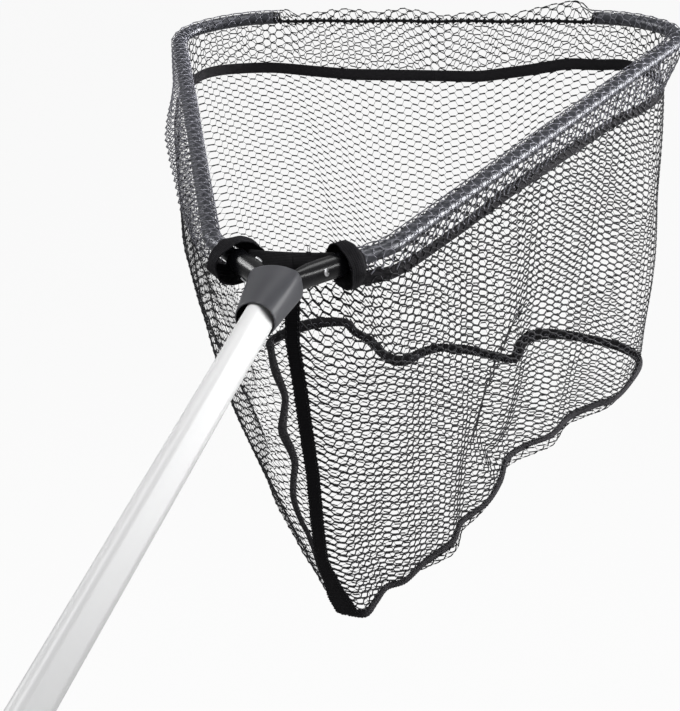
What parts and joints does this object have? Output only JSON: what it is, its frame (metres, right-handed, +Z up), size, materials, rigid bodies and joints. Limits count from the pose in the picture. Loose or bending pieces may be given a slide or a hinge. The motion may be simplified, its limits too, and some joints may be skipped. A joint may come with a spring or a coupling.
{
  "type": "telescopic pond net",
  "caption": "Telescopic pond net: lobed two-tube pole with twist lock, sliding lock sleeve, folding triangular arms and a deep netting bag on a cord-strung front.",
  "frame": {"origin": "middle of the hand grip, on the pole's axis", "axes": "+Y along the pole from the grip to the net's front edge, +Z up out of the net's mouth, +X to the right seen from the grip"},
  "size_m": [0.4712, 1.5235, 0.3658],
  "materials": {
    "pole_aluminium": "satin anodised",
    "black_coated_tube": "gloss black coating",
    "grey_plastic": "satin moulded grey",
    "black_plastic": "gloss moulded black",
    "foam_grip": "matte ribbed foam rubber",
    "rivet_steel": "plain rivet steel",
    "netting": "knotless hexagonal mesh of dark yarn",
    "webbing": "woven black tape"
  },
  "bodies": {
    "handle": {"outer_tube": "pole_aluminium", "hand_grip": "foam_grip", "end_cap": "black_plastic", "lock_collet": "black_plastic"},
    "lock_nut": {"lock_nut": "black_plastic"},
    "head": {"inner_tube": "pole_aluminium", "guide_bush": "black_plastic", "hub_core": "black_plastic", "hub_pin": "rivet_steel", "left_pivot_pin": "rivet_steel", "right_pivot_pin": "rivet_steel", "front_cord": "webbing", "front_casing_net": "netting", "front_wall_net": "netting", "front_hem_tape": "webbing", "floor_net": "netting", "floor_seam_tape": "webbing", "rear_seam_tape": "webbing", "rear_strap": "webbing"},
    "sleeve": {"lock_sleeve": "grey_plastic"},
    "right_arm": {"right_arm_socket": "black_plastic", "right_arm_tube": "black_coated_tube", "right_socket_rivet": "rivet_steel", "right_tip_plug": "black_plastic", "right_tip_rivet": "rivet_steel", "right_casing_net": "netting", "right_hem_tape": "webbing", "right_wall_net": "netting", "right_cuff": "webbing"},
    "left_arm": {"left_arm_socket": "black_plastic", "left_arm_tube": "black_coated_tube", "left_socket_rivet": "rivet_steel", "left_tip_plug": "black_plastic", "left_tip_rivet": "rivet_steel", "left_casing_net": "netting", "left_hem_tape": "webbing", "left_wall_net": "netting", "left_cuff": "webbing"}
  },
  "joints": [
    {"name": "pole_extend", "type": "slide", "parent": "handle", "child": "head", "axis": [0, 1, 0], "range_m": [-0.34, 0]},
    {"name": "lock_nut_turn", "type": "hinge", "parent": "handle", "child": "lock_nut", "pos_m": [0, 0.386, 0], "axis": [0, 1, 0], "range_deg": [0, 120]},
    {"name": "sleeve_slide", "type": "slide", "parent": "head", "child": "sleeve", "axis": [0, 1, 0], "range_m": [-0.07, 0], "deforming": ["front_cord", "front_casing_net", "front_wall_net", "front_hem_tape", "floor_net", "floor_seam_tape", "rear_seam_tape", "rear_strap", "left_casing_net", "left_hem_tape", "left_wall_net", "left_cuff", "right_casing_net", "right_hem_tape", "right_wall_net", "right_cuff"]},
    {"name": "right_arm_fold", "type": "hinge", "parent": "head", "child": "right_arm", "pos_m": [0.0088, 0.852, -0.00054], "axis": [0.061, 0, 0.9981], "range_deg": [0, 22.01], "deforming": ["front_cord", "front_casing_net", "front_wall_net", "front_hem_tape", "floor_net", "floor_seam_tape", "rear_seam_tape", "rear_strap", "left_casing_net", "left_hem_tape", "left_wall_net", "left_cuff", "right_casing_net", "right_hem_tape", "right_wall_net", "right_cuff"]},
    {"name": "left_arm_fold", "type": "hinge", "parent": "head", "child": "left_arm", "pos_m": [-0.0088, 0.852, 0.00054], "axis": [0.061, 0, 0.9981], "range_deg": [-22.01, 0], "deforming": ["front_cord", "front_casing_net", "front_wall_net", "front_hem_tape", "floor_net", "floor_seam_tape", "rear_seam_tape", "rear_strap", "left_casing_net", "left_hem_tape", "left_wall_net", "left_cuff", "right_casing_net", "right_hem_tape", "right_wall_net", "right_cuff"]}
  ],
  "couplings": [
    {"joint": "right_arm_fold", "follows": "sleeve_slide", "rad_per_m": -5.4853},
    {"joint": "left_arm_fold", "follows": "sleeve_slide", "rad_per_m": 5.4853}
  ]
}
